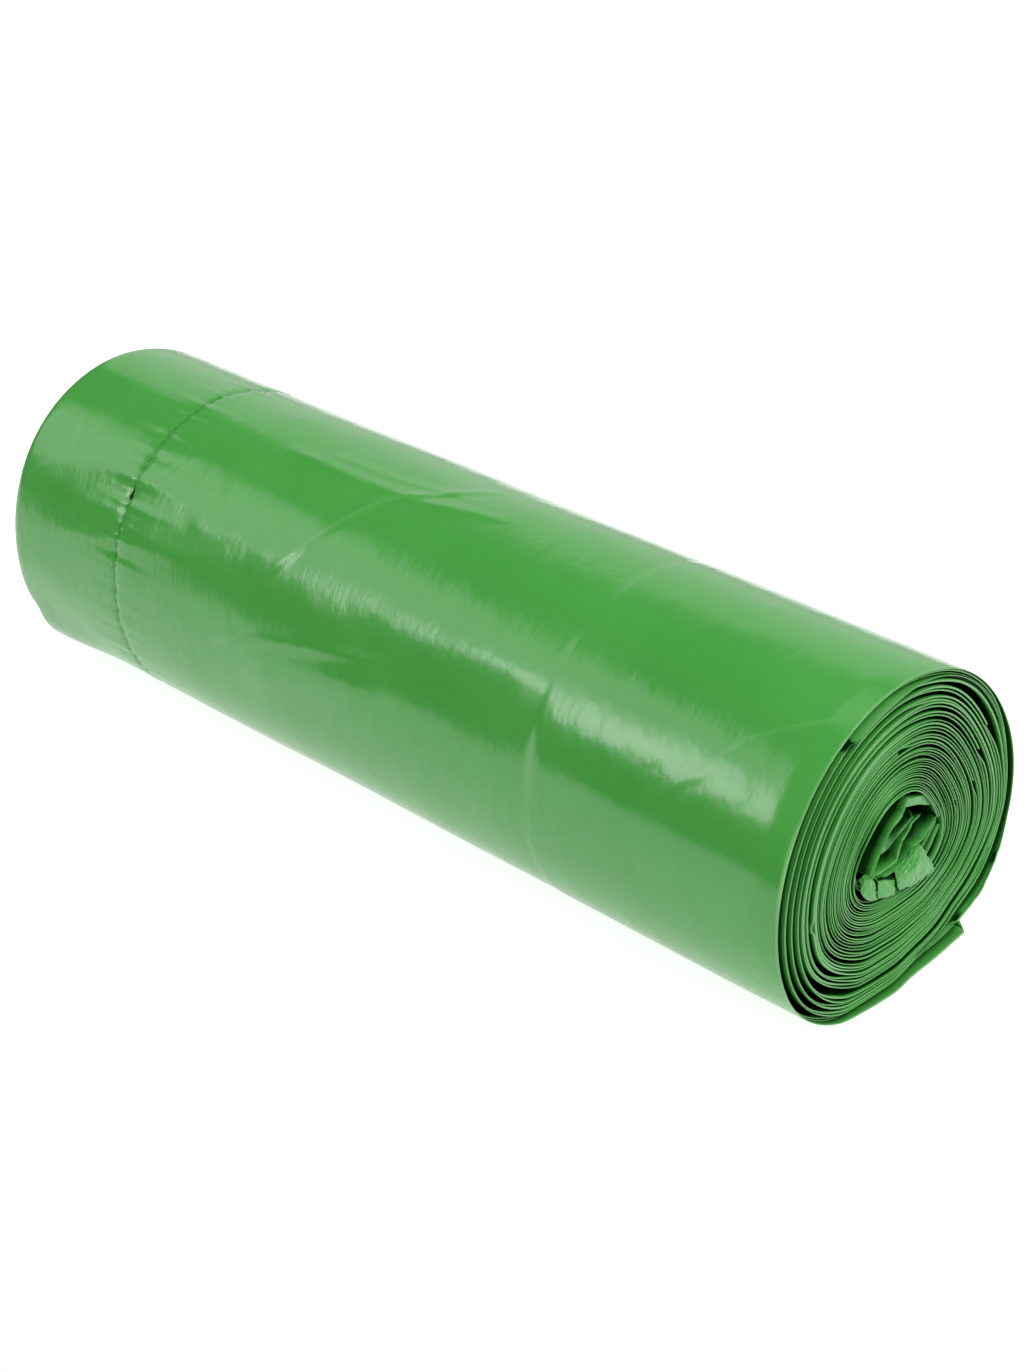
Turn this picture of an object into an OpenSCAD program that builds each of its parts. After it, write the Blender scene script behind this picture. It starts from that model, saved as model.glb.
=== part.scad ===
/* [Folded web] */
// Width of the folded web between its two edge folds, which is the length of the roll
web_w = 300; // [200:5:400]
// Thickness of the folded web where the turns are tight, all its layers of film together
web_t = 0.9; // [0.7:0.05:1]
// Thickness to which its layers spread where the turns lie further apart
loose_t = 1.4; // [1.1:0.05:1.8]
// Depth of the rounded fold along each edge of the web
fold_depth = 0.7; // [0.3:0.1:1.5]
// Length by which the outermost film stands out past the fold, beside the tail
lip_len = 4; // [0:0.2:6]
// Depth by which the folds under that film are tucked in, from the tail to the low left side
tuck_depth = 1.5; // [0:0.1:4]

/* [Winding] */
// Turns of web round the hollow, counted at the tail
turns = 19; // [16:1:24]
// Mean gap of air between one turn and the next
air_gap = 0.8; // [0.7:0.02:1.2]
// Where the tail lies round the roll, in degrees from +Y towards +Z
tail_angle = -51; // [-80:1:-20]
// How far the web wanders sideways from turn to turn
wander = 0.6; // [0:0.1:1.5]

/* [Slumped section] */
// Swell of the section in two directions
oval_swell = 0.4; // [0:0.1:1]
// Swell of the section in three directions
three_swell = 1.2; // [0:0.1:2]
// Swell of the section in four directions
four_swell = 0.5; // [0:0.1:1]
// Swell of the section high on the right
top_swell = 1.1; // [0:0.1:1.5]
// How far the section draws in under the tail
tail_dip = 2; // [0:0.1:2.5]
// Depth by which the roll's own weight presses its underside flat
flat_press = 1.7; // [0.5:0.1:2.5]
// Depth of the crescent below the two outer turns, high on the right
crescent_gap = 2.6; // [0:0.1:3]
// How far the second turn closes up to the outermost one over the crescent
close_up = 0.7; // [0:0.1:1]
// Depth of the wedge of air between the outer turns and the rest, low on the left
wedge_gap = 1.6; // [0:0.1:2]
// Depth of the room inside the outermost turn where it passes under the tail
tail_room = 3.0; // [0:0.1:3.5]
// How far the middle turns sag to the right, where they lie closer together
sag_right = 1.5; // [0:0.1:2]
// How far the middle turns sag down
sag_down = 1.5; // [0:0.1:2]

/* [Hollow] */
// Clear width of the hollow in the middle
hollow_w = 32; // [26:1:38]
// Clear height of the hollow in the middle
hollow_h = 26.5; // [22:0.5:32]
// Swell of the hollow towards its top and its two lower corners
hollow_swell = 1.3; // [0:0.1:2]
// How far the hollow sits to the right of the roll's middle
hollow_right = 1; // [-2:0.1:3]
// How far the hollow sits below the roll's middle
hollow_drop = 1.2; // [-1:0.1:3]
// Thickness of the crumpled start of the web, inside the hollow
start_t = 0.6; // [0.4:0.05:1]
// How far the crumpled start lies back from the ends of the roll
start_inset = 4; // [1:0.5:12]

/* [Surface of the outermost turn] */
// Distance of the welded seam from the far end of the roll
seam_from_end = 49; // [15:1:80]
// Depth of the groove that the seam draws in
seam_depth = 0.5; // [0:0.1:1]
// Half the width of that groove
seam_half_w = 3; // [1.5:0.5:6]
// Distance from the near end of the ring where a fold edge shows through from below
ring_from_end = 82.5; // [40:0.5:110]
// Height of the step at that ring
ring_step = 0.3; // [0:0.1:1]
// Half the width over which the step rises
ring_half_w = 4; // [1:0.5:10]
// Height of the soft waves in the outermost film
film_wave = 0.3; // [0:0.1:0.8]
// Length of those waves along the roll
wave_length = 150; // [80:5:250]

/* [Hidden] */

// Angle at which the web leaves the winding and crumples into the hollow
start_angle = 10;
wound = turns - (start_angle - tail_angle) / 360;
pitch = web_t + air_gap;
per_turn = 40;
steps = round(wound * per_turn);
roll_r = (hollow_w + hollow_h) / 4 + web_t + wound * pitch;
seam_x = seam_from_end - web_w / 2;
ring_x = web_w / 2 - ring_from_end;

// The directions in which the slumped section swells, in degrees from +Y
oval_dir = 13;
three_dir = -15;
four_dir = -30;
hollow_dir = 90;
// The middle of the flat spot, of the crescent and of the wedge, and half the angle that each covers
flat_dir = -97;
flat_half = 18;
crescent_dir = 35;
crescent_half = 45;
wedge_dir = -123;
wedge_half = 28;
// The middle and half the angle of the other places where the section departs from its plain form
top_dir = 28;
top_half = 55;
close_dir = 60;
close_half = 50;
room_dir = -36;
room_half = 28;
// The angles between which the dip under the tail deepens and ends, and how many degrees each takes
dip_from = -36;
dip_to = -90;
dip_in = 14;
dip_out = 12;
// The turns from which each gap opens, and how many turns it takes to open
close_turn = 1.3;
room_turn = 1.45;
crescent_turn = 2.3;
wedge_turn = 3.7;
opening_turns = 0.25;
// Pitch of the innermost and the outermost turns as a pair of weights, and where one passes to the other
tight_pitch = 1.28;
loose_pitch = 2.12;
spread_start = 0.15;
spread_span = 0.7;
// Share of the pitch that the spread layers fill, and how much less of it on the left of the outer
// turns, which ends at the turn given and takes the turns that follow it to do so
fill = 0.64;
left_dir = 185;
left_half = 60;
left_less = 0.35;
left_turns = 7.2;
left_fade = 6;
// Turns over which the film that stands out beside the tail draws back, and over which the folds are
// tucked in and come out again, up to the turn given
lip_turns = 0.2;
tuck_in = 0.12;
tuck_out = 0.08;
tuck_end = 0.28;
// Length over which the step at the ring dies away towards the near end
ring_fade = 20;
// How fast the web wanders, in cycles a turn, and where it starts
wander_rate = 0.37;
wander_start = 40;

// The crumpled start, as shares of half the hollow's clear width and height from its centre
start_points = [
    [0.76, -0.08], [0.61, -0.18], [0.12, -0.48], [-0.53, -0.58], [-0.83, -0.39], [-0.63, -0.29],
    [-0.09, -0.21], [0.09, 0.17], [0.34, 0.36], [0.71, 0.29], [0.74, 0.39], [0.34, 0.56],
    [0.05, 0.8], [-0.18, 0.65], [-0.66, 0.05]
];

// A smooth rise from 0 to 1 as v passes from 0 to 1
function rise(v) = let (w = min(1, max(0, v))) w * w * (3 - 2 * w);
// A smooth bump, 1 at the middle and 0 from the given distance on
function bump(v, half) = rise(1 - abs(v) / half);
// An angle brought to between -180 and 180 degrees
function wrap(v) = v - 360 * round(v / 360);
// The point at angle q on a circle of radius r, in the plane of the roll's end
function polar(r, q) = [r * cos(q), r * sin(q)];
// The unit vector to the left of the way from p to q
function left_of(p, q) = let (d = (q - p) / norm(q - p)) [-d.y, d.x];

// Angle of the web after a turns, which runs inwards clockwise as seen from +X
function turn_angle(a) = tail_angle - 360 * a;

// Outline of the winding at its outermost and its innermost turn
function outline(q) = polar(
    roll_r + oval_swell * cos(2 * (q - oval_dir)) + three_swell * cos(3 * (q - three_dir))
        + four_swell * cos(4 * (q - four_dir)) + top_swell * bump(wrap(q - top_dir), top_half)
        - tail_dip * rise((dip_from - wrap(q)) / dip_in) * rise((wrap(q) - dip_to) / dip_out), q
);
hollow_middle = [hollow_right, -hollow_drop];
function hollow_outline(q) = let (swell = web_t + hollow_swell * cos(3 * (q - hollow_dir)))
    hollow_middle + [(hollow_w / 2 + swell) * cos(q), (hollow_h / 2 + swell) * sin(q)];

// How far inside its plain place the web lies after a turns, where gaps have opened above it
function opened(a, first) = rise((a - first) / opening_turns + 0.5);
function slack(a) =
    let (q = turn_angle(a))
    crescent_gap * opened(a, crescent_turn) * bump(wrap(q - crescent_dir), crescent_half)
    - close_up * opened(a, close_turn) * bump(wrap(q - close_dir), close_half)
    + wedge_gap * opened(a, wedge_turn) * bump(wrap(q - wedge_dir), wedge_half)
    + tail_room * opened(a, room_turn) * bump(wrap(q - room_dir), room_half);

// Share of the way out at which the web lies, where u is the share of the turns that lie inside it
spread_total = tight_pitch + (loose_pitch - tight_pitch) * (1 - spread_start - spread_span / 2);
function spread(u) =
    let (w = min(1, max(0, (u - spread_start) / spread_span)))
    (tight_pitch * u + (loose_pitch - tight_pitch)
        * (spread_span * (w ^ 3 - w ^ 4 / 2) + max(0, u - spread_start - spread_span))) / spread_total;

// The greatest value of share ^ 2 * (1 - share), which is reached at two thirds of the way out
sag_peak = 4 / 27;

// The outer face of the wound web after a turns, between the two outlines and sagging between them
function wound_point(a) =
    let (
        q = turn_angle(a),
        inner = hollow_outline(q),
        outer = outline(q) - polar(slack(a), q),
        share = 1 - a / wound
    )
    inner + (outer - inner) * spread(share) + [sag_right, -sag_down] * share ^ 2 * (1 - share) / sag_peak;

// The level to which the roll's weight presses each turn at the underside
flat_turn = (tail_angle - flat_dir) / 360;
function flat_level(a) =
    let (lowest = round(a - flat_turn) + flat_turn)
    wound_point(lowest).y + flat_press * (1 - lowest / wound);

// The route of the web, with its thickness, from the tail to the end of the crumpled start
route = concat(
    [for (i = [0 : steps]) wound_point(wound * i / steps)],
    [for (p = start_points) hollow_middle + [p.x * hollow_w / 2, p.y * hollow_h / 2]]
);
last = len(route) - 1;
function turn_of(i) = min(i, steps) * wound / steps;
function spread_t(a) =
    let (
        room = norm(wound_point(a + 1) - wound_point(a)),
        left = bump(wrap(turn_angle(a) - left_dir), left_half) * rise((left_turns - a) / left_fade)
    )
    max(web_t, min(loose_t, fill * room * (1 - left_less * left)));
function thickness(i) = i > steps ? start_t : turn_of(i) > wound - 1 ? web_t : spread_t(turn_of(i));

// The way from the outer to the inner face at each route point, longer where the web bends sharply
function across(i) =
    let (
        before = left_of(route[max(i, 1) - 1], route[max(i, 1)]),
        after = left_of(route[min(i, last - 1)], route[min(i, last - 1) + 1]),
        mean = (before + after) / norm(before + after)
    )
    -mean * min(1.5, 1 / max(0.1, mean * before));

// How far the two edges of the web lie out from the ends of the roll, at a route point
function side_shift(i) = wander * sin(360 * wander_rate * turn_of(i) + wander_start);
function inset(i, phase) = i <= steps ? 0 : start_inset * (0.6 + 0.4 * sin(77 * i + phase));
function tuck(i) = tuck_depth * rise(turn_of(i) / tuck_in) * rise((tuck_end - turn_of(i)) / tuck_out);
function lip(i) = lip_len * max(0, 1 - turn_of(i) / lip_turns) + tuck(i);

// Stations along the outermost film, from the far end to the near one, and its form there
seam_end = seam_x + seam_half_w;
ring_end = ring_x + ring_half_w;
stations = concat(
    [for (s = [0.35, 0.7]) -web_w / 2 + s * (seam_from_end - seam_half_w)],
    [for (s = [-1, -0.4, 0, 0.4, 1]) seam_x + s * seam_half_w],
    [for (s = [0.2, 0.4, 0.6, 0.8]) seam_end + s * (ring_x - ring_half_w - seam_end)],
    [for (s = [-1, 0, 1]) ring_x + s * ring_half_w],
    [for (s = [0.35, 0.7]) ring_end + s * (web_w / 2 - ring_end)]
);
function waves(x, q) =
    film_wave * bump(x, web_w / 2) * sin(360 * x / wave_length + 2 * q) * sin(150 * x / wave_length + 3 * q);
function groove(x, q) = seam_depth * bump(x - seam_x, seam_half_w) * (1 + 0.4 * sin(5 * q));
function ring(x) =
    ring_step * rise((x - ring_x + ring_half_w) / (2 * ring_half_w)) * rise((web_w / 2 - x) / ring_fade);
function film_form(x, q) =
    rise(abs(wrap(q - flat_dir)) / flat_half - 1) * (waves(x, q) - groove(x, q) + ring(x));

// A point of the web, kept above the level to which its turn is pressed
function web_point(x, p, i, depth) =
    i > steps ? [x, p.x, p.y] : [x, p.x, max(p.y, flat_level(turn_of(i)) + depth)];

// The section of the web at a route point: its outer, middle and inner lines and its edge folds
function section(i) =
    let (
        p = route[i],
        n = across(i),
        t = thickness(i),
        near = web_w / 2 + side_shift(i) - inset(i, 0) - tuck(i),
        far = -web_w / 2 + side_shift(i) + inset(i, 120)
    )
    [
        web_point(near - fold_depth + lip(i), p, i, 0),
        web_point(near, p + n * t * (lip(i) > 0.2 ? 0.3 : 0.5), i, t * 0.5),
        web_point(near - fold_depth, p + n * t, i, t),
        web_point(far + fold_depth, p + n * t, i, t),
        web_point(far, p + n * t * 0.5, i, t * 0.5),
        web_point(far + fold_depth, p, i, 0)
    ];
function film_stations(i) =
    let (q = turn_angle(turn_of(i)), p = route[i], n = across(i))
    [for (x = stations) web_point(x, p - n * film_form(x, q), i, 0)];

// Points: the rings of the outermost turn carry the stations, the others only the section
skinned = per_turn + 2;
ring_size = 6 + len(stations);
points = concat(
    [for (i = [0 : skinned - 1]) each concat(section(i), film_stations(i))],
    [for (i = [skinned : last]) each section(i)]
);
function ring_start(i) = i < skinned ? i * ring_size : skinned * ring_size + (i - skinned) * 6;

// Two triangles between side j of one ring and the same side of the next
function side(i, j, next_j) =
    let (a = ring_start(i), b = ring_start(i + 1))
    [[a + j, b + j, b + next_j], [a + j, b + next_j, a + next_j]];
outer_ring = skinned - 1;
faces = concat(
    [[for (j = [0 : ring_size - 1]) j]],
    [for (i = [0 : skinned - 2], j = [0 : ring_size - 1]) each side(i, j, (j + 1) % ring_size)],
    [for (j = [0 : 4]) each side(outer_ring, j, j + 1)],
    [for (j = [5 : ring_size - 1])
        [ring_start(outer_ring) + j, ring_start(skinned) + 5, ring_start(outer_ring) + (j + 1) % ring_size]],
    [[ring_start(outer_ring), ring_start(skinned) + 5, ring_start(skinned)]],
    [for (i = [skinned : last - 1], j = [0 : 5]) each side(i, j, (j + 1) % 6)],
    [[for (j = [5 : -1 : 0]) ring_start(last) + j]]
);

// The origin lies below the middle of the roll, on the surface that the flat spot rests on
low = [for (k = [0 : 2]) min([for (p = points) p[k]])];
high = [for (k = [0 : 2]) max([for (p = points) p[k]])];
rest_shift = [-(low.x + high.x) / 2, -(low.y + high.y) / 2, -low.z];

module bag_roll() {
    color([0.22, 0.56, 0.2])
        translate(rest_shift)
            polyhedron(points = points, faces = faces, convexity = 2 * turns);
}

bag_roll();
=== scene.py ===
import math

import bpy
import numpy as np
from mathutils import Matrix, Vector


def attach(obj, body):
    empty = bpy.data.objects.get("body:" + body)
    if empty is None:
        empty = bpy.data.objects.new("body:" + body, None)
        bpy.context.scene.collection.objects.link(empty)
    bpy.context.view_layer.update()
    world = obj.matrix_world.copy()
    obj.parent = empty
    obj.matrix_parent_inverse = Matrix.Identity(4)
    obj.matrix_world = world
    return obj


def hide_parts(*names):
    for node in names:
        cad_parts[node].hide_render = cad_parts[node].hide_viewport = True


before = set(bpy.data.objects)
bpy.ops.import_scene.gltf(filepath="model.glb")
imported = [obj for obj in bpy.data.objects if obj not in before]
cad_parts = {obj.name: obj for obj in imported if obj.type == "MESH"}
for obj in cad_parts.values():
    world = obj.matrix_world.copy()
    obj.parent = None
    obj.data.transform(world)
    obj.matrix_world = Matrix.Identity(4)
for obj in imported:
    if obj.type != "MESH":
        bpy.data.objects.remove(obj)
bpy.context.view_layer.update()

MM = 0.001
# Where the axis of the winding lies in the row frame, in mm, as in the part's source
REST_SHIFT = np.array([-1.54284, -0.829469, 44.4824])

# The folded web and its winding, in mm and degrees, as in the part's source
WEB_W = 300.0
WEB_T = 0.9
TURNS = 19
TAIL = -51.0
START = 10.0
WOUND = TURNS - (START - TAIL) / 360
ROLL_R = 47.54
HOLLOW = (32.0, 26.5)
HOLLOW_AT = np.array([1.0, -1.2])
FLAT_DIR = -97.0
FLAT_HALF = 18.0
FLAT_PRESS = 1.7
SAG = np.array([1.5, -1.5])
SEAM_X = -101.0
RING_X = 67.5
LIP = 4.0

# Values of the scene alone, in mm, degrees and turns from the tail
FILM_T = 0.22
# How far the rounded end of a group of layers reaches
LAYER_ROUND = 0.2
# Spacing along the roll of the points that carry the outermost film's creases
CREASE_STEP = 1.3
# Lengths of the outermost and of a middle turn, by which the film's pattern runs on
OUTER_ROUND, MEAN_ROUND = 292.0, 200.0
# Where the web first passes the left side, and the angle in the middle of what shows at the upper left
LEFT = 0.37
UPPER_LEFT = 150
# Where the folds of the second turn begin to stand out, with a step, and how far
NOTCH, NOTCH_OUT = 1.526, 1.6


def rise(v):
    """A soft step from 0 to 1."""
    w = np.clip(v, 0, 1)
    return w * w * (3 - 2 * w)


def bump(v, half):
    """A soft hump of height 1 round 0."""
    return rise(1 - np.abs(v) / half)


def wrap(v):
    """An angle from -180 to 180."""
    return v - 360 * np.round(v / 360)


def cosd(v):
    return np.cos(np.radians(v))


def sind(v):
    return np.sin(np.radians(v))


def polar(r, q):
    return np.stack([r * cosd(q), r * sind(q)], -1)


def smooth_noise(seed, waves, low, high):
    """A sum of sines with seeded phases: a function of one variable, about -1 to 1."""
    rng = np.random.default_rng(seed)
    rates = rng.uniform(low, high, waves)
    phases = rng.uniform(0, 2 * np.pi, waves)
    return lambda v: sum(np.sin(r * v + p) for r, p in zip(rates, phases)) / waves ** 0.5


def turn_angle(a):
    return TAIL - 360 * a


def outline(q):
    """The roll's outer outline: pear shaped, swollen at the upper right, with a dip before the tail."""
    r = ROLL_R + 0.4 * cosd(2 * (q - 13)) + 1.2 * cosd(3 * (q + 15)) + 0.5 * cosd(4 * (q + 30))
    tail_dip = 2.4 * rise((-34 - wrap(q)) / 18) * rise((wrap(q) + 98) / 24)
    return polar(r + 1.1 * bump(wrap(q - 28), 55) - tail_dip, q)


def hollow_outline(q):
    swell = WEB_T + 1.3 * cosd(3 * (q - 90))
    return HOLLOW_AT + np.stack([(HOLLOW[0] / 2 + swell) * cosd(q), (HOLLOW[1] / 2 + swell) * sind(q)], -1)


def spread(u):
    """Share of the way out at which a turn lies: the inner turns are wound tighter than the outer ones."""
    tight, loose, start, span = 1.28, 2.12, 0.15, 0.7
    w = np.clip((u - start) / span, 0, 1)
    total = tight + (loose - tight) * (span / 2 + 1 - start - span)
    return (tight * u + (loose - tight) * (span * (w ** 3 - w ** 4 / 2) + np.maximum(0, u - start - span))) / total


def opened(a, first):
    return rise((a - first) / 0.25 + 0.5)


def slack(a):
    """How far a turn lies inside its place, by which the wider gaps between outer turns open."""
    q = turn_angle(a)
    return (-0.7 * opened(a, 1.3) * bump(wrap(q - 60), 50) + 2.6 * opened(a, 2.3) * bump(wrap(q - 35), 45)
            + 1.6 * opened(a, 3.7) * bump(wrap(q + 123), 28) + 3.0 * opened(a, 1.45) * bump(wrap(q + 36), 28))


def wound_point(a):
    """Places of the web in the section, by the turn count from the tail."""
    q = turn_angle(a)
    inner = hollow_outline(q)
    outer = outline(q) - polar(slack(a), q)
    share = 1 - a / WOUND
    far = spread(share)[:, None]
    sag = (6.75 * share ** 2 * (1 - share))[:, None]
    return inner + (outer - inner) * far + SAG * sag


def flat_level(a):
    """The height to which each turn is pressed by the ground under it."""
    flat_turn = (TAIL - FLAT_DIR) / 360
    lowest = np.round(a - flat_turn) + flat_turn
    return wound_point(lowest)[:, 1] + FLAT_PRESS * (1 - lowest / WOUND)


def pressed(z, level):
    """Heights kept above a level, with a soft passage on to it."""
    over = z - level
    return level + 0.5 * (over + np.sqrt(over ** 2 + 0.5)) - 0.04


def way_out(a):
    """Unit vectors that point out of the roll, at right angles to the web."""
    step = 1e-4
    d = wound_point(a + step) - wound_point(a - step)
    d /= np.linalg.norm(d, axis=1)[:, None]
    return np.stack([-d[:, 1], d[:, 0]], -1)


def closed_mesh(name, points, uv, edge):
    """A mesh in mm over rows of points, closed across the rows and capped at both ends.

    The last argument, kept as a point attribute, is light and shade painted into the film's colour: 1 a painted
    highlight on folded edges, 0 plain film, -1 painted shade deep in a gap.
    """
    n, m = points.shape[:2]
    index = np.arange(n * m).reshape(n, m)
    after = np.roll(index, -1, axis=1)
    faces = np.stack([index[:-1], after[:-1], after[1:], index[1:]], -1).reshape(-1, 4).tolist()
    faces.append(index[0][::-1].tolist())
    faces.append(index[-1].tolist())
    mesh = bpy.data.meshes.new(name)
    flat = (points.reshape(-1, 3) + REST_SHIFT) * MM
    mesh.from_pydata(flat.tolist(), [], faces)
    mesh.polygons.foreach_set("use_smooth", [True] * len(mesh.polygons))
    layer = mesh.uv_layers.new(name="UVMap")
    corner = np.empty(len(mesh.loops), np.int32)
    mesh.loops.foreach_get("vertex_index", corner)
    layer.data.foreach_set("uv", uv.reshape(-1, 2)[corner].astype(np.float32).ravel())
    attribute = mesh.attributes.new("edge", "FLOAT", "POINT")
    attribute.data.foreach_set("value", edge.astype(np.float32).ravel())
    mesh.update()
    thing = bpy.data.objects.new(name, mesh)
    bpy.context.scene.collection.objects.link(thing)
    return thing


# How the edges of the web lie at the ends of the roll: a is the turn count from the tail

def side_shift(a):
    return 0.10 * sind(133.2 * a + 40)


edge_drift = smooth_noise(3, 5, 0.6, 5.0)
edge_ripple = smooth_noise(4, 6, 9.0, 40.0)
radial_drift = smooth_noise(5, 5, 2.5, 9.0)
radial_ripple = smooth_noise(6, 6, 9.0, 30.0)


def lip(a):
    """How far the outermost film stands out past the fold, beside the tail."""
    right = 0.5 * rise((a - 0.74) / 0.1) + 0.8 * rise((a - 0.89) / 0.05)
    tail = np.interp(a, [0, 0.025, 0.053, 0.08, 0.108, 0.128, 0.156, 0.18, 0.2],
                     [LIP + 1, 3.7, 2.7, 1.7, 1.5, 1.4, 0.9, 0.2, 0])
    return tail + (right + 0.6 * rise((a - 0.945) / 0.03)) * rise((1.012 - a) / 0.008)


def tuck(a):
    """How far the folds under that film are tucked in."""
    return 1.5 * rise(a / 0.12) * rise((0.28 - a) / 0.08) - 1.2 * rise((0.06 - a) / 0.06)


def stand_off(a):
    """Gap at the near end between the outermost film and the other layers of its web."""
    return (0.25 * rise((a - 0.62) / 0.1) + 1.25 * rise((a - 0.74) / 0.1)) * rise((1.02 - a) / 0.06)


def bunched(a):
    """Where the webs are drawn together into thin edges with wide gaps: on the left of the outer turns."""
    return rise((85 - np.abs(wrap(turn_angle(a) - 160))) / 25) * rise((7.4 - a) / 1.2)


def thickness(a):
    """Depth of the folded layers at the ends."""
    pitch = np.linalg.norm(wound_point(np.minimum(a + 1, WOUND)) - wound_point(a), axis=1)
    plain = 0.64
    thin = np.interp(a - LEFT, [0, 3.2, 3.6, 4.2, 4.6, 5.2, 5.6, 6, 7],
                     [0.21, 0.22, 0.5, 0.6, 0.35, 0.28, 0.6, 0.8, 0.7])
    share = plain + (thin - plain) * bunched(a)
    return np.where(a > WOUND - 1, WEB_T, np.clip(share * pitch, 0.45, 1.8))


def gathered(a):
    """How far the near edge of each outer turn is drawn in on the left."""
    by_turn = np.interp(a - LEFT, [0, 0.5, 1, 2, 3, 4, 5, 6, 7], [0, 0, 0.75, 0.85, 0.7, 0.6, 0, 0.35, 0])
    return by_turn * rise((80 - np.abs(wrap(turn_angle(a) - 180))) / 70)


def drawn_in(points):
    """The near end of the outer turns is drawn in, most of all at the upper left."""
    x, y, z = points[..., 0], points[..., 1], points[..., 2]
    reach, full_r = 7.5, 46
    r = np.hypot(y, z) + 1e-9
    q = np.degrees(np.arctan2(z, y)) % 360
    most = np.interp(q, [0, 60, 95, 120, 145, 160, 172, 180, 195, 215, 360],
                     [0, 0, 0.5, 1.0, 1.2, 1.0, 0.75, 0.5, 0.3, 0, 0])
    depth = most * rise((x - WEB_W / 2 + reach) / reach) * np.clip(r / full_r, 0, 1) ** 3
    moved = points.copy()
    moved[..., 1] -= depth * y / r
    moved[..., 2] -= depth * z / r
    return moved


def folded_edge(near, top, t, cut, steps, slot):
    """The end of the folded web at one place, as two groups of layers with a slot between them.

    It goes from the outer side to the inner one, in points of x, depth and painted light: a painted highlight on the
    crests of the layers and painted shade in the slot, by its depth.
    """
    rows = []
    angle = np.array([-80, -25, 25, 80])
    wide, deep = slot[0] * t, slot[1]
    for k, (first, end) in enumerate(((0, cut * t - wide / 2), (cut * t + wide / 2, t))):
        bulge = min(LAYER_ROUND, 0.5 * (end - first))
        x = near + steps[k] + bulge * (cosd(angle) - 1)
        depth = -top - first - (0.5 + 0.5 * sind(angle)) * (end - first)
        rows.append(np.stack([x, depth, np.array([0.1, 1, 1, 0.1])], -1))
    floor = near + min(steps) - deep
    low = top + cut * t
    painted_dark = -min(1, deep / 0.5)
    rows.insert(1, np.array([[near + steps[0] - 0.2 - 0.85 * wide, -low + wide * 0.46, painted_dark],
                             [floor, -low + wide * 0.4, painted_dark],
                             [floor, -low - wide * 0.4, painted_dark],
                             [near + steps[1] - 0.2 - 0.85 * wide, -low - wide * 0.46, painted_dark]]))
    return np.concatenate(rows)


def far_edge(far, top, t, cut, steps, slot):
    """The same at the far end, from the inner side to the outer one."""
    rows = folded_edge(-far, top, t, cut, steps, slot)[::-1]
    rows[:, 0] *= -1
    return rows


def layer_form(a, seed):
    """Where the layers part, how far each group stands out, and the slot's width and depth, along the web."""
    first, second, third = (smooth_noise(seed + k, 5, 2.0, 9.0) for k in range(3))
    apart = 1 - bunched(a)
    cuts = 0.5 + 0.10 * np.clip(first(a), -1.5, 1.5)
    steps = np.stack([0.08 * third(a), np.clip(0.3 * first(2.1 * a + 20) - 0.1, -0.8, 0.15) * apart], -1)
    wide = 0.08 + (0.32 + 0.12 * np.clip(second(0.8 * a + 5), -1, 1)) * apart
    deep = 0.15 + (1.5 + 0.9 * np.clip(third(a + 50), -1, 1)) * apart
    return cuts, steps, np.stack([wide, deep], -1)


def turn_near(y, z):
    """The turn count at which the web passes closest to a point of the section."""
    q = math.degrees(math.atan2(z, y))
    a = (TAIL - q) / 360 % 1 + np.arange(TURNS)
    a = a[a < WOUND]
    gaps = np.hypot(*(wound_point(a) - [y, z]).T)
    return a[gaps.argmin()]


def laid_out(a, rows):
    """Points of x and depth set along the winding, kept above the flat and drawn in at the near end."""
    yz = wound_point(a)[:, None, :] + way_out(a)[:, None, :] * rows[:, :, 1:2]
    level = flat_level(a)[:, None] - np.minimum(rows[:, :, 1], 0)
    yz[:, :, 1] = pressed(yz[:, :, 1], level)
    return drawn_in(np.concatenate([rows[:, :, :1], yz], -1))


def film_uv(points, a, around):
    """Texture places in metres: along the roll, and along the web by the length of a turn."""
    along = np.broadcast_to((a * around)[:, None], points.shape[:2])
    return np.stack([points[:, :, 0], along], -1) * MM


# Short places where a folded edge is tucked in: a point of the section, how deep and over what part of a turn
NICKS = [(31.2, 16.2, 1.6, 0.03), (30.5, 7.7, 1.2, 0.03), (23.1, 4.6, 1.0, 0.03), (-3.1, 25.5, 1.4, 0.03),
         (-32.4, -9.3, 1.0, 0.02), (40.2, -21.5, 1.4, 0.02), (35.5, 22.0, 1.0, 0.04)]


# Form of the outermost film: x along the roll, q round it

def to_line(x, s, line):
    """Distance of each point from a line, on which side it lies, and the share of the line's length there."""
    line = np.array(line, float)
    lengths = np.hypot(*np.diff(line, axis=0).T)
    total = lengths.sum()
    best = np.full(x.shape, 1e9)
    side = np.zeros(x.shape)
    along = np.zeros(x.shape)
    gone = 0.0
    for p, q, length in zip(line[:-1], line[1:], lengths):
        d = (q - p) / length
        t = np.clip((x - p[0]) * d[0] + (s - p[1]) * d[1], 0, length)
        dx, ds = x - p[0] - t * d[0], s - p[1] - t * d[1]
        dist = np.hypot(dx, ds)
        near = dist < best
        best = np.where(near, dist, best)
        side = np.where(near, np.sign(dx * d[1] - ds * d[0]), side)
        along = np.where(near, (gone + t) / total, along)
        gone += length
    return best, side, along


ARC = 46.5 * math.pi / 180
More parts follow.
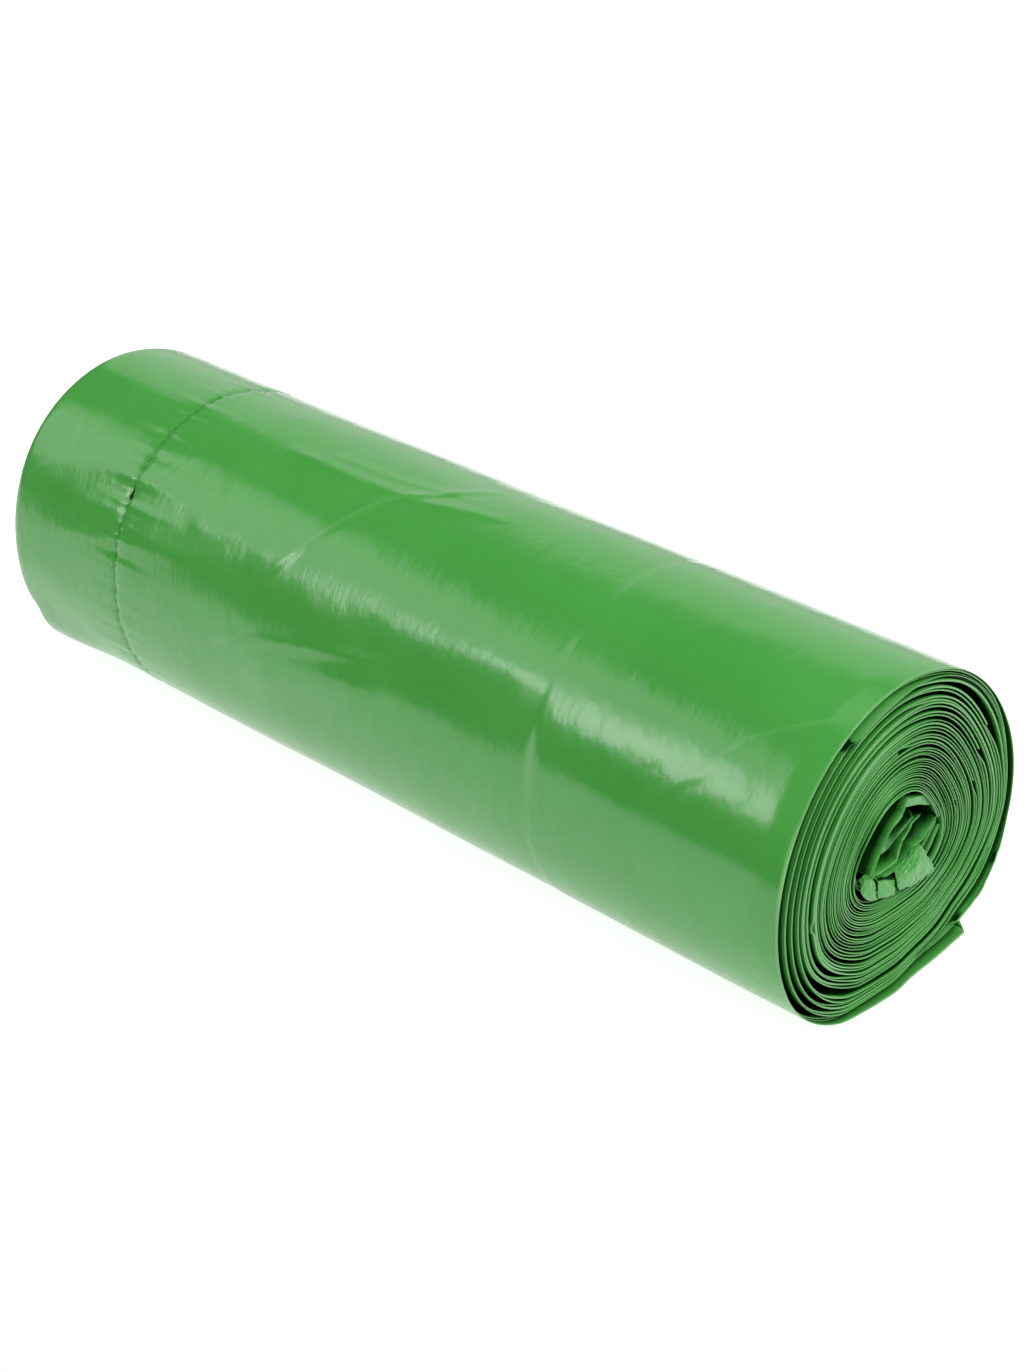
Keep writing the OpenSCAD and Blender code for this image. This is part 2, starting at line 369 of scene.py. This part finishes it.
# Creases: points (x, angle), height, half width, and the share of the height by which one side stays up
CREASES = [
    ([(-41, 155), (-34.3, 143.3), (-25.4, 127.6), (-17.2, 109.2), (-6, 98), (0.5, 88), (8, 74)], 0.36, 1.1, 0.35),
    ([(106, 163), (119.7, 150), (129, 139)], 0.10, 0.8, 0.4),
    ([(120, 146), (128, 133), (137.6, 124), (147, 115)], 0.16, 0.9, -0.4),
    ([(-62, 104), (-30, 105), (-5, 103), (25, 95)], 0.28, 1.4, 0.3),
    ([(-50, 98), (-20, 97), (10, 91)], 0.22, 1.5, 0.3),
    ([(-57, 184), (-46, 176)], 0.2, 1.1, 0.4),
    ([(-80, 210), (-60, 185)], 0.10, 1.0, 0.4),
    ([(70, 197), (93, 181)], 0.07, 1.0, 0.4),
    ([(-65, 150), (-48, 135)], 0.10, 1.6, 0.3),
    ([(-95, 140), (-88, 122)], 0.10, 1.4, 0.3),
    ([(-140, 146), (-145, 154), (-147, 162)], 0.10, 1.5, 0.3),
    ([(-134, 128), (-132, 140)], 0.12, 1.5, 0.3),
]
# Soft folds: points (x, angle), height, half width
FOLDS = [
    ([(-60, 178), (-38, 168), (-18, 160), (0, 157)], 0.32, 7.0),
    ([(-52, 181), (-35, 173), (-13, 166.5), (2, 163), (15, 160)], 0.36, 1.8),
    ([(-47, 190), (-25, 181), (-5, 176), (12, 171)], 0.8, 5.5),
    ([(-62, 104), (-30, 105), (-5, 103), (25, 95)], 0.34, 4.0),
    ([(-8, 157), (20, 158), (64, 158)], -0.42, 8.0),
    ([(-70, 128), (-69, 138), (-72, 148)], 0.25, 3.5),
    ([(-76, 125), (-77, 140), (-76, 150)], -0.20, 3.5),
    ([(-44, 133), (-42, 148)], 0.16, 4.0),
    ([(68, 146), (50, 144), (30, 143)], 0.12, 4.0),
]


def ridge(v):
    """A wave with sharp crests and round valleys."""
    return 0.64 - np.abs(sind(v / 2))


def film_form(x, q):
    """Height of the outermost film over its plain outline, in mm, and a painted highlight along its creases.

    Beside the seam are fine puckers and longer wrinkles. Past the ring the film swells on the left, which
    shifts the bright band there.
    """
    waves = 0.3 * bump(x, WEB_W / 2) * sind(360 * x / 150 + 2 * q) * sind(x + 3 * q)
    away = np.abs(x - SEAM_X)
    groove = 0.22 * bump(away, 1.3) + 0.15 * bump(away, 3.5)
    ring = 0.2 * rise((x - RING_X + 1.5) / 3) * rise((WEB_W / 2 - x) / 20)
    pucker = np.exp(-away / 7) * (
        0.28 * ridge(31 * q + 3 * x) + 0.22 * ridge(47 * q - 2 * x + 60) + 0.10 * sind(83 * q))
    wrinkle = np.exp(-away / 30) * (0.5 + 0.5 * sind(2.3 * q + 1.7 * x)) * (0.3 + 0.7 * bump(wrap(q - 140), 55)) * (
        0.65 * ridge(13 * q + 3.1 * x) + 0.55 * ridge(19 * q - 2.3 * x + 40) + 0.25 * ridge(29 * q + 5.0 * x + 80))
    corner = rise((-116 - x) / 30) * (1.6 * bump(wrap(q - 225), 19) - 0.5 * bump(wrap(q - 203), 16))
    turned = 0.9 * rise((x - RING_X + 3) / 7) * bump(wrap(q - 166), 24)
    height = waves - groove + ring + pucker + wrinkle + turned + corner
    crease_highlight = np.zeros(x.shape)
    s = wrap(q - UPPER_LEFT) * ARC
    for points, tall, half, keep in CREASES:
        dist, side, along = to_line(x, s, [(px, (pq - UPPER_LEFT) * ARC) for px, pq in points])
        ends = rise(along / 0.15) * rise((1 - along) / 0.15)
        stays = keep * side * rise(1 - dist / (6 * half)) * rise(dist / half)
        height += tall * ends * (np.exp(-(dist / half) ** 2) + stays)
        # A painted highlight along each crease
        crease_highlight = np.maximum(crease_highlight, min(0.35, 1.6 * tall) * ends * bump(dist, 1.0))
    for points, tall, half in FOLDS:
        dist, _, along = to_line(x, s, [(px, (pq - UPPER_LEFT) * ARC) for px, pq in points])
        height += tall * rise(along / 0.3 + 0.2) * rise((1 - along) / 0.3 + 0.2) * np.exp(-(dist / half) ** 2)
    return rise(np.abs(wrap(q - FLAT_DIR)) / FLAT_HALF - 1) * height, crease_highlight


def outer_wrap():
    """The outermost turn, from the tail to a little way under it, with every form that shows on the film."""
    per_turn, last = 300, 1.06
    a = np.linspace(0, last, int(per_turn * last) + 1)
    q = turn_angle(a)
    middle = side_shift(a)
    near, far = WEB_W / 2 + middle - tuck(a), -WEB_W / 2 + middle
    rim_x = WEB_W / 2 + middle + lip(a)
    body = np.concatenate([np.arange(-148.2, SEAM_X - 8.4, CREASE_STEP), SEAM_X + np.arange(-8, 8.1, 0.6),
                           np.arange(SEAM_X + 9, RING_X - 3.4, CREASE_STEP), np.arange(RING_X - 3, RING_X + 3, 0.75),
                           np.arange(RING_X + 3.2, 148.4, CREASE_STEP), [149.2, 149.7]])
    share = body / (WEB_W / 2)
    seam_shade = 0.35 + 0.25 * sind(97 * q)
    stands, thick = stand_off(a), thickness(a)
    # By the tail the underside of the film is painted lighter over a patch, as light on a flap of film that lies
    # there, between two notches of painted shade
    painted_light_patch = 0.3 * rise((a - 0.942) / 0.003) * rise((0.995 - a) / 0.003) + 0.8 * rise((0.012 - a) / 0.012)
    painted_shade_notch = bump(a - 0.934, 0.010) + bump(a - 1.001, 0.010)
    for place in (0.931, 0.957, 0.977):
        rim_x = rim_x - 0.15 * bump(a - place, 0.005)
    hem = 0.16 + 0.35 * rise(lip(a) / 1.5)
    cuts, steps, slots = layer_form(a, 60)
    far_cuts, far_steps, far_slots = layer_form(a, 80)
    rows = []
    for i in range(len(a)):
        x_outer = np.where(share > 0, share * rim_x[i], -share * far[i])
        high, crease_highlight = film_form(x_outer, np.full(x_outer.shape, q[i]))
        high -= 0.12 * rise((x_outer - rim_x[i] + 1.5) / 1.5) ** 2 + 0.3 * rise((far[i] + 2 - x_outer) / 2) ** 2
        # Painted light on the film's outside: a painted highlight along the creases and on the rounded rims, and
        # darker along the seam
        at_edge = rise((np.abs(x_outer) - np.where(x_outer > 0, rim_x[i], -far[i]) + 0.9) / 0.8)
        pale = crease_highlight - seam_shade[i] * bump(x_outer - SEAM_X, 0.8) + at_edge
        stick = rim_x[i] - near[i]
        apart = stands[i]
        back = near[i] - 0.3 - 12 * rise(apart)
        face = -0.1 - FILM_T
        # The third values are painted light: a painted highlight on the rim, painted shade growing towards the folds
        # and deep in the gap, and the inner face below painted shade.
        rim = np.array([[rim_x[i], -0.08, 1],
                        [rim_x[i], -0.10 - hem[i], 1],
                        [rim_x[i] - 0.15, -0.14 - hem[i], 0.8],
                        [near[i] + 0.75 * stick, face, 0.45 - 1.3 * painted_shade_notch[i]],
                        [near[i] + 0.4 * stick, face, -0.3 + painted_light_patch[i] - painted_shade_notch[i]],
                        [near[i] - 0.15, face, -0.85 + 0.3 * painted_light_patch[i]],
                        [near[i] - 0.25 - 0.08 * (near[i] - back), face, -0.95],
                        [back, face, -1],
                        [back - 0.4, face - 0.02 - 0.8 * apart, -1]])
        folds = folded_edge(near[i] - 0.2, FILM_T + 0.12 + apart, thick[i] - FILM_T, cuts[i], steps[i], slots[i])
        inner = np.stack([np.linspace(near[i] - 3, far[i] + 3, 9), np.full(9, -thick[i] - 0.12), np.full(9, -1.0)], -1)
        inner[0, 1] -= apart
        far_folds = far_edge(far[i] + 0.1, 0.3, thick[i] - 0.25, far_cuts[i], far_steps[i], far_slots[i])
        rows.append(np.concatenate([np.stack([x_outer, high, pale], -1), rim, folds, inner, far_folds]))
    rows = np.array(rows)
    points = laid_out(a, rows)
    # Past the folds the tail's end runs at a slant, over its first rows of points
    slant_rows = 9
    slant = 2.8 * np.clip((points[0, :, 0] - near[0]) / LIP, 0, 1)
    slanted = points.copy()
    pick = np.arange(points.shape[1])
    for i in range(slant_rows):
        at = i + slant * (1 - i / slant_rows)
        low = at.astype(int)
        part = (at - low)[:, None]
        slanted[i] = points[low, pick] * (1 - part) + points[low + 1, pick] * part
    return closed_mesh("outer_wrap", slanted, film_uv(slanted, a, OUTER_ROUND), rows[:, :, 2])


def web_piece(name, first, last, per_turn):
    """The turns from first to last, with the layers of film that show along their folded edges."""
    count = int((last - first) * per_turn) + 1
    a = np.linspace(first, last, count)
    p = wound_point(a)
    thick = thickness(a)
    room = np.linalg.norm(wound_point(a - 1) - p, axis=1) - thickness(a - 1) - np.where(a < 2, stand_off(a - 1), 0)
    after = np.linalg.norm(wound_point(np.minimum(a + 1, WOUND)) - p, axis=1) - thick
    over, under = np.clip(0.8 * room, 0.25, 1.3), np.clip(0.8 * after, 0.25, 1.3)
    room = np.clip(room, 0.05, 1.0)
    near = WEB_W / 2 + side_shift(a) + 0.15 * edge_drift(a) + 0.04 * edge_ripple(a)
    far = -WEB_W / 2 + side_shift(a) + 0.4 * edge_drift(a + 50) + 0.07 * edge_ripple(a + 50)
    waver = np.clip(radial_drift(a) + 0.5 * radial_ripple(a), -1.2, 1.2)
    flutter = (0.2 + 0.15 * rise((10 - a) / 4)) * room * waver * (1 - bunched(a)) - gathered(a)
    stuck_out = np.where(a > NOTCH, NOTCH_OUT, 0) * rise((1.67 - a) / 0.1)
    over += 0.9 * stuck_out
    for y, z, deep, length in NICKS:
        start = turn_near(y, z)
        stuck_out -= np.where(a > start, deep, 0) * rise((start + length - a) / length)
    cuts, steps, slots = layer_form(a, 30)
    far_cuts, far_steps, far_slots = layer_form(a, 45)
    steps[:, 0] += stuck_out
    painted_crest_shade = np.maximum(0, cosd(2 * (turn_angle(a) - UPPER_LEFT)))
    rows = []
    for i in range(count):
        t = thick[i]
        start, end = near[i] + steps[i, 0] - 0.2, near[i] + steps[i, 1] - 0.2
        # The third values are painted light: painted shade on the web's sides deep in the gaps, lightening towards the
        # folded edge.
        outer = np.array([[0, 0, -1], [near[i] - 12, 0, -1],
                          [start - over[i], 0, -1], [start - 0.4 * over[i], 0, -0.1]])
        inner = np.array([[end - 0.4 * under[i], -t, -0.1], [end - under[i], -t, -1],
                          [near[i] - 12, -t, -1], [0, -t, -1], [far[i] + 12, -t, -1], [far[i] + 2, -t, -1]])
        folds = folded_edge(near[i], 0, t, cuts[i], steps[i], slots[i])
        far_folds = far_edge(far[i], 0, t, far_cuts[i], far_steps[i], far_slots[i])
        line = np.concatenate([outer, folds, inner, far_folds, [[far[i] + 2, 0, -1], [far[i] + 12, 0, -1]]])
        inward = np.where(line[:, 0] > 0, near[i] - line[:, 0], line[:, 0] - far[i])
        line[:, 1] += flutter[i] * np.clip(1 - inward / 14, 0, 1) ** 1.5
        # Points 2 and 3 lie on the outer side by the fold, 4 to 11 round its outer group of layers and the slot.
        # Painted light: the outer side of folds that stand out is painted lighter, the rows just before the notch are
        # painted dark as the shadow of its step, and the crests at the upper left and lower right are painted darker
        # as shade.
        line[2:4, 2] += 0.5 * max(0, stuck_out[i])
        line[:, 2] -= 2 * bump(a[i] - NOTCH + 0.005, 0.008)
        line[4:12, 2] -= 0.7 * painted_crest_shade[i] * (line[4:12, 2] > 0)
        rows.append(line)
    rows = np.array(rows)
    points = laid_out(a, rows)
    return closed_mesh(name, points, film_uv(points, a, MEAN_ROUND), rows[:, :, 2])


# The last layers of the web beside the crumpled start: points of the section, clockwise
START_LAYERS = {
    "start_outer": [(13.5, 7.0), (16.6, 4.2), (18.6, 0.6), (18.9, -2.6), (16.2, -7.0), (13.4, -10.4), (9.0, -13.2),
                    (2.0, -14.6)],
    "start_inner": [(14.0, 5.2), (17.2, 2.2), (17.9, -1.4), (15.2, -5.0), (12.2, -8.2), (9.0, -11.4), (4.0, -13.4)],
    "start_low": [(1.0, -13.6), (-4.0, -13.2), (-8.6, -11.4), (-12.0, -8.6), (-13.8, -5.0), (-14.3, -1.5)],
    "start_lower": [(-1.0, -12.6), (-5.0, -12.2), (-9.0, -10.4), (-11.8, -7.6), (-13.2, -4.4)],
}

# The crumpled start of the web in the hollow: lines along its folds, each from low on the left to high on the right
PANEL = [(149.4, -8.9, -6.1), (149.4, -8.1, -4.0), (149.2, -6.0, -0.7), (149.0, -3.6, 2.0), (149.2, -1.8, 4.5),
         (149.3, 1.7, 6.4), (149.3, 3.1, 9.0), (149.2, 8.7, 7.5), (149.2, 14.0, 5.0), (149.0, 18.3, 1.8)]
HOLE = [(149.3, -8.7, -6.2), (149.2, -7.8, -4.2), (148.6, -5.6, -1.0), (148.0, -2.4, -0.2), (146.0, 0.0, 2.4),
        (130.0, 2.0, 4.4), (116.0, 4.5, 5.0), (114.0, 9.0, 4.8), (114.0, 12.5, 3.8), (116.0, 16.5, 2.0)]
STRIP = [(149.3, -8.5, -6.3), (149.2, -7.5, -4.4), (148.8, -5.3, -1.3), (147.6, -0.4, -2.2), (147.7, 2.0, -0.6),
         (147.6, 6.5, 1.5), (147.4, 9.5, 2.4), (144.0, 11.5, 3.4), (138.0, 13.0, 3.0), (134.0, 16.0, 1.4)]
VALLEY_LEFT = [(148.5, -8.2, -6.6), (146.0, -6.4, -5.6), (141.0, -3.4, -4.2), (136.0, 0.6, -4.4), (135.0, 2.4, -2.8),
               (136.0, 5.4, 0.2), (138.0, 8.2, 1.6), (137.0, 11.0, 2.2), (130.0, 13.0, 1.2), (126.0, 15.5, 0.2)]
RIDGE = [(149.0, -7.9, -6.6), (149.2, -5.3, -6.4), (149.2, -1.5, -6.3), (149.0, 1.9, -5.9), (148.8, 2.6, -4.1),
         (148.6, 4.0, -1.4), (148.4, 6.1, -0.3), (148.2, 7.9, 1.8), (147.8, 11.4, 2.2), (145.5, 15.8, 0.6)]
VALLEY_RIGHT = [(148.0, -6.6, -7.6), (146.0, -4.0, -7.3), (144.0, -0.4, -7.2), (142.0, 2.9, -6.8), (139.0, 4.6, -5.6),
                (142.0, 6.6, -3.4), (143.0, 9.4, -2.4), (141.0, 11.6, -1.0), (139.0, 13.8, 0.0), (137.0, 16.4, 0.4)]
FRONT = [(149.4, -5.9, -8.4), (149.6, -2.7, -8.3), (149.6, 0.8, -8.1), (149.6, 3.7, -7.7), (149.4, 5.9, -6.9),
         (149.2, 8.9, -4.6), (149.2, 12.1, -4.2), (149.0, 14.3, -2.5), (148.8, 16.5, -1.2), (148.6, 18.3, 1.1)]
FLAPS = {
    "flap_right": [
        [(149.2, 0.8, -8.6), (149.2, 3.0, -7.6), (149.2, 5.4, -6.4), (149.4, 7.4, -5.0), (149.8, 9.1, -3.9)],
        [(150.2, 0.2, -9.9), (150.2, 2.4, -8.1), (150.3, 5.0, -6.5), (150.4, 7.1, -5.2), (150.6, 9.1, -4.1)],
        [(151.2, -0.4, -10.9), (151.6, 2.5, -9.7), (151.6, 5.9, -8.6), (151.3, 8.6, -8.0), (150.9, 10.8, -6.8)],
        [(151.0, 0.6, -13.2), (151.3, 5.2, -13.9), (151.3, 9.1, -14.1), (151.1, 15.2, -13.9), (150.8, 13.7, -10.7)]],
    "flap_low": [
        [(149.0, -6.4, -7.6), (149.0, -4.8, -7.8), (149.0, -2.6, -8.6), (149.0, -0.2, -9.6)],
        [(150.1, -6.9, -7.9), (150.2, -5.2, -8.2), (150.3, -2.9, -9.1), (150.2, -0.3, -10.4)],
        [(150.6, -7.2, -12.2), (150.7, -5.4, -12.9), (150.7, -2.7, -13.6), (150.6, -0.1, -13.9)]],
    "flap_left": [
        [(148.0, -12.2, -6.0), (148.4, -11.4, -5.2), (148.6, -10.0, -5.1), (148.8, -8.9, -6.2), (149.0, -7.5, -7.9)],
        [(149.6, -13.0, -6.3), (150.1, -12.1, -5.7), (150.2, -10.5, -5.5), (150.0, -9.0, -6.6), (149.8, -7.7, -8.3)],
        [(150.3, -14.0, -7.3), (150.6, -13.4, -8.9), (150.7, -11.8, -10.6), (150.6, -9.8, -11.9),
         (150.3, -7.3, -12.6)]],
}

# Where the rows of a sheet lie between two of its lines: evenly, or close beside sharp folds
SOFT = (0, 0.1, 0.25, 0.4, 0.55, 0.7, 0.85)
SHARP = (0, 0.04, 0.14, 0.32, 0.55, 0.78, 0.93, 0.98)


def crumpled_sheet(name, lines, count, between, thick, seed, crease, painted_highlight_lines=(), painted_shade_lines=(), steep=0):
    """A thin closed sheet through lines of points, with small creases over it.

    It has a painted highlight on its rim and along the pale lines, painted shade after the dark lines from a given
    point on, and painted shade that deepens with depth, faster up to the line steep.
    """
    places = np.linspace(0, len(lines[0]) - 1, count)
    matched = [np.stack([np.interp(places, np.arange(len(line)), np.array(line, float)[:, k]) for k in range(3)], -1)
               for line in lines]
    rows = []
    for p, q in zip(matched[:-1], matched[1:]):
        rows += [p + (q - p) * t for t in between]
    rows.append(matched[-1])
    grid = np.array(rows)
    n, m = grid.shape[:2]
    u, v = np.meshgrid(np.linspace(0, 1, m), np.linspace(0, 1, n))
    rng = np.random.default_rng(seed)
    waves = 14
    high = np.zeros((n, m))
    for _ in range(waves):
        turn, phase, rate = rng.uniform(0, np.pi), rng.uniform(0, 6), rng.uniform(8, 34)
        high += np.abs(np.sin((u * np.cos(turn) + v * np.sin(turn)) * rate + phase)) - 0.6
    normal = np.cross(np.gradient(grid, axis=0), np.gradient(grid, axis=1))
    normal /= np.linalg.norm(normal, axis=2)[:, :, None] + 1e-9
    middle = grid + normal * (high * crease / waves ** 0.5)[:, :, None]
    front, back = middle + normal * thick / 2, middle - normal * thick / 2
    loop = np.concatenate([front, back[:, ::-1]], axis=1)
    uv = np.stack([loop[:, :, 0] + loop[:, :, 2], loop[:, :, 1]], -1) * MM
    # Painted light: painted shade that deepens with depth behind the near end, painted shade after the dark lines, and
    # a painted highlight along the pale lines and on the rim
    x, step = np.abs(loop[:, :, 0]), len(between)
    edge = 0.1 - 1.1 * rise((149.6 - x) / 3.5)
    edge[:steep * step] = 0.1 - 1.1 * rise((149.0 - x[:steep * step]) / 2.2)
    for k, first in painted_shade_lines:
        edge[k * step + 1:(k + 1) * step, first:2 * m - first] = -1
    for k in painted_highlight_lines:
        edge[k * step] = np.maximum(edge[k * step], 1.0 - 1.8 * rise((149.4 - x[k * step]) / 6))
    edge[[0, -1]] = 1
    edge[:, [0, m - 1, m, -1]] = 1
    return closed_mesh(name, loop, uv, edge)


def core():
    """The crumpled start at both ends: as the photo shows it near, and the same folds plainer at the far end."""
    wide = np.interp(np.arange(len(PANEL)), [0, 4, 6, 8, 9], [0.1, 0.3, 2.2, 2.2, 0.9])
    top = [(x, y + 0.35 * w, z + 0.9 * w) for (x, y, z), w in zip(PANEL, wide)]
    wall = [(118.0, y - 0.5, z + 0.3) for x, y, z in top]
    lines = [wall, top, PANEL, HOLE, STRIP, VALLEY_LEFT, RIDGE, VALLEY_RIGHT, FRONT]
    # Lines 2, 4 and 6 of the crumpled start get a painted highlight, and after lines 2 and 3 the sheet is painted
    # black as the shade in the opening
    made = [crumpled_sheet("core_near", lines, 70, SHARP, 0.3, 21, 0.14, (2, 4, 6), ((2, 0), (3, 44)), 1)]
    for k, (name, rows) in enumerate(FLAPS.items()):
        # The flap below gets painted shade along its first strip, under the fold above it
        painted_dark = ((0, 0),) if name == "flap_low" else ()
        made.append(crumpled_sheet(name, rows, 40, SOFT, 0.25, 40 + k, 0.35, (), painted_dark))
    for k, (name, path) in enumerate(START_LAYERS.items()):
        layers = [[(x, y, z) for y, z in path] for x in (108.0, 143.0, 149.0 - 0.5 * k)]
        made.append(crumpled_sheet(name, layers, 50, SOFT, 0.4, 60 + k, 0.05))
    far = [[(-x, y, z) for x, y, z in line] for line in lines]
    # The same painted highlight and shade at the far end
    made.append(crumpled_sheet("core_far", far, 40, SHARP, 0.3, 22, 0.16, (2, 4, 6), ((2, 0), (3, 25)), 1))
    return made


# Materials

def film_material():
    """Green glossy film with fine relief, with a painted highlight on folded edges, and painted shade, darker and less
    glossy, in the depth of gaps.
    """
    mat = bpy.data.materials.new("film")
    mat.use_nodes = True
    nodes, links = mat.node_tree.nodes, mat.node_tree.links
    shader = nodes["Principled BSDF"]
    uv = nodes.new("ShaderNodeUVMap")
    uv.uv_map = "UVMap"

    def stretched(scale_x, scale_y, detail, rough):
        place = nodes.new("ShaderNodeMapping")
        place.inputs["Scale"].default_value = (scale_x, scale_y, 1)
        noise = nodes.new("ShaderNodeTexNoise")
        noise.inputs["Scale"].default_value = 1
        noise.inputs["Detail"].default_value = detail
        noise.inputs["Roughness"].default_value = rough
        links.new(uv.outputs["UV"], place.inputs["Vector"])
        links.new(place.outputs["Vector"], noise.inputs["Vector"])
        return noise.outputs["Fac"]

    def mapped(source, span, result, target):
        """Link a value to an input, with one span of values laid over another."""
        amount = nodes.new("ShaderNodeMapRange")
        for end, value in zip(("From Min", "From Max", "To Min", "To Max"), span + result):
            amount.inputs[end].default_value = value
        links.new(source, amount.inputs["Value"])
        links.new(amount.outputs["Result"], target)

    def blended(base, colour, limit, most):
        """The base colour, and towards a limit of the painted light and shade more and more of the other."""
        mix = nodes.new("ShaderNodeMix")
        mix.data_type = "RGBA"
        mix.inputs["B"].default_value = colour
        mapped(edge.outputs["Fac"], (0, limit), (0, most), mix.inputs["Factor"])
        links.new(base, mix.inputs["A"])
        return mix.outputs["Result"]

    def relief(height, strength, distance):
        bumps = nodes.new("ShaderNodeBump")
        bumps.inputs["Strength"].default_value = strength
        bumps.inputs["Distance"].default_value = distance
        links.new(height, bumps.inputs["Height"])
        return bumps

    cloud = stretched(25, 25, 4, 0.55)
    colours = nodes.new("ShaderNodeValToRGB")
    colours.color_ramp.elements[0].position = 0.3
    colours.color_ramp.elements[0].color = (0.074, 0.415, 0.063, 1)
    colours.color_ramp.elements[1].position = 0.7
    colours.color_ramp.elements[1].color = (0.087, 0.455, 0.074, 1)
    links.new(cloud, colours.inputs["Fac"])
    edge = nodes.new("ShaderNodeAttribute")
    edge.attribute_name = "edge"
    # Mixed in by the point attribute: a pale green painted highlight on folded edges and a nearly black painted shade
    # in gaps
    with_painted_highlight = blended(colours.outputs["Color"], (0.23, 0.60, 0.20, 1), 1, 0.8)
    with_painted_shade = blended(with_painted_highlight, (0.003, 0.035, 0.003, 1), -1, 1.0)
    links.new(with_painted_shade, shader.inputs["Base Color"])
    mapped(cloud, (0, 1), (0.13, 0.26), shader.inputs["Roughness"])
    # The painted shade also takes the gloss away in gaps
    mapped(edge.outputs["Fac"], (-1, 0), (0.05, 0.5), shader.inputs["Specular IOR Level"])
    shader.inputs["IOR"].default_value = 1.5
    fine = relief(stretched(520, 140, 4, 0.6), 0.3, 0.0003)
    broad = relief(stretched(60, 45, 3, 0.5), 0.22, 0.002)
    links.new(fine.outputs["Normal"], broad.inputs["Normal"])
    links.new(broad.outputs["Normal"], shader.inputs["Normal"])
    return mat


# The studio

def light(name, azimuth, elevation, size, strength):
    """A soft box in a direction from the roll, in degrees. Its strength is a radiance, where 1 is white."""
    distance, roll_middle = 3.0, Vector((0, 0, 0.045))
    lamp = bpy.data.lights.new(name, "AREA")
    lamp.shape = "RECTANGLE"
    lamp.size, lamp.size_y = size
    lamp.energy = strength * math.pi * size[0] * size[1]
    box = bpy.data.objects.new(name, lamp)
    way = Vector((cosd(azimuth) * cosd(elevation), sind(azimuth) * cosd(elevation), sind(elevation)))
    box.location = way * distance + roll_middle
    box.rotation_euler = way.to_track_quat("Z", "Y").to_euler()
    bpy.context.scene.collection.objects.link(box)
    return box


def studio():
    """Soft boxes, and a world that is white to the camera and a dark grey light for everything else.

    soft_left_core gives the bright band along the left, and front lights the near end.
    """
    light("soft_left", -142, 31, (2.3, 1.5), 1.9)
    light("soft_left_core", -123.5, 24, (1.0, 0.5), 5.5)
    light("back_left", 131, 20.5, (2.4, 2.5), 0.85)
    light("overhead", 60, 72, (3.0, 3.0), 1.0)
    light("front", 0, 46, (2.0, 1.6), 4.4)
    light("front_left", -66, 12, (1.2, 1.2), 2.0)
    world = bpy.data.worlds.new("studio")
    bpy.context.scene.world = world
    world.use_nodes = True
    nodes, links = world.node_tree.nodes, world.node_tree.links
    ray = nodes.new("ShaderNodeLightPath")
    shade = nodes["Background"]
    shade.inputs["Color"].default_value = (0.10, 0.10, 0.10, 1)
    white = nodes.new("ShaderNodeBackground")
    mix = nodes.new("ShaderNodeMixShader")
    white.inputs["Color"].default_value = (1, 1, 1, 1)
    links.new(ray.outputs["Is Camera Ray"], mix.inputs["Fac"])
    links.new(shade.outputs[0], mix.inputs[1])
    links.new(white.outputs[0], mix.inputs[2])
    links.new(mix.outputs[0], nodes["World Output"].inputs["Surface"])


def floor_plane():
    """The white ground. It glows a little, only to the camera and in reflections, so its shadows stay pale."""
    mesh = bpy.data.meshes.new("floor")
    corners = [(-0.65, -0.47, 0), (-0.3, -0.28, 0), (-0.05, -0.21, 0), (0.3, -0.17, 0), (0.6, -0.17, 0),
               (0.6, 0.6, 0), (-0.65, 0.6, 0)]
    mesh.from_pydata(corners, [], [tuple(range(len(corners)))])
    floor = bpy.data.objects.new("floor", mesh)
    bpy.context.scene.collection.objects.link(floor)
    mat = bpy.data.materials.new("white_floor")
    mat.use_nodes = True
    nodes, links = mat.node_tree.nodes, mat.node_tree.links
    shader = nodes["Principled BSDF"]
    shader.inputs["Base Color"].default_value = (0.9, 0.9, 0.9, 1)
    shader.inputs["Roughness"].default_value = 1
    ray = nodes.new("ShaderNodeLightPath")
    shader.inputs["Emission Color"].default_value = (1, 1, 1, 1)
    lift = nodes.new("ShaderNodeMath")
    lift.operation = "MULTIPLY"
    lift.inputs[1].default_value = 0.8
    seen = nodes.new("ShaderNodeMath")
    seen.operation = "MAXIMUM"
    links.new(ray.outputs["Is Camera Ray"], seen.inputs[0])
    links.new(ray.outputs["Is Glossy Ray"], seen.inputs[1])
    links.new(seen.outputs[0], lift.inputs[0])
    links.new(lift.outputs[0], shader.inputs["Emission Strength"])
    mesh.materials.append(mat)


def camera():
    """The photograph's camera, fitted to the two ends of the roll."""
    azimuth, elevation = 44.8, 28.25
    place = (490.2, -475.8, 354.2)
    focal_px, photo_height_px = 2757, 1372
    cam = bpy.data.objects.new("camera", bpy.data.cameras.new("camera"))
    cam.data.sensor_width = 36
    cam.data.lens = focal_px / photo_height_px * cam.data.sensor_width
    cam.data.clip_start = 0.05
    back = Vector((sind(azimuth) * cosd(elevation), -cosd(azimuth) * cosd(elevation), sind(elevation)))
    cam.location = (Vector(place) + Vector(REST_SHIFT)) * MM
    cam.rotation_euler = back.to_track_quat("Z", "Y").to_euler()
    bpy.context.scene.collection.objects.link(cam)
    bpy.context.scene.camera = cam


film = film_material()
wound = [outer_wrap(), web_piece("wound_web", 1.06, 9.0, 190), web_piece("inner_web", 9.0, WOUND, 150)]
for piece in wound + core():
    piece.data.materials.append(film)
    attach(piece, "root")
    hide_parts("bag_roll")

floor_plane()
studio()
camera()
bpy.context.scene.view_settings.view_transform = "Standard"
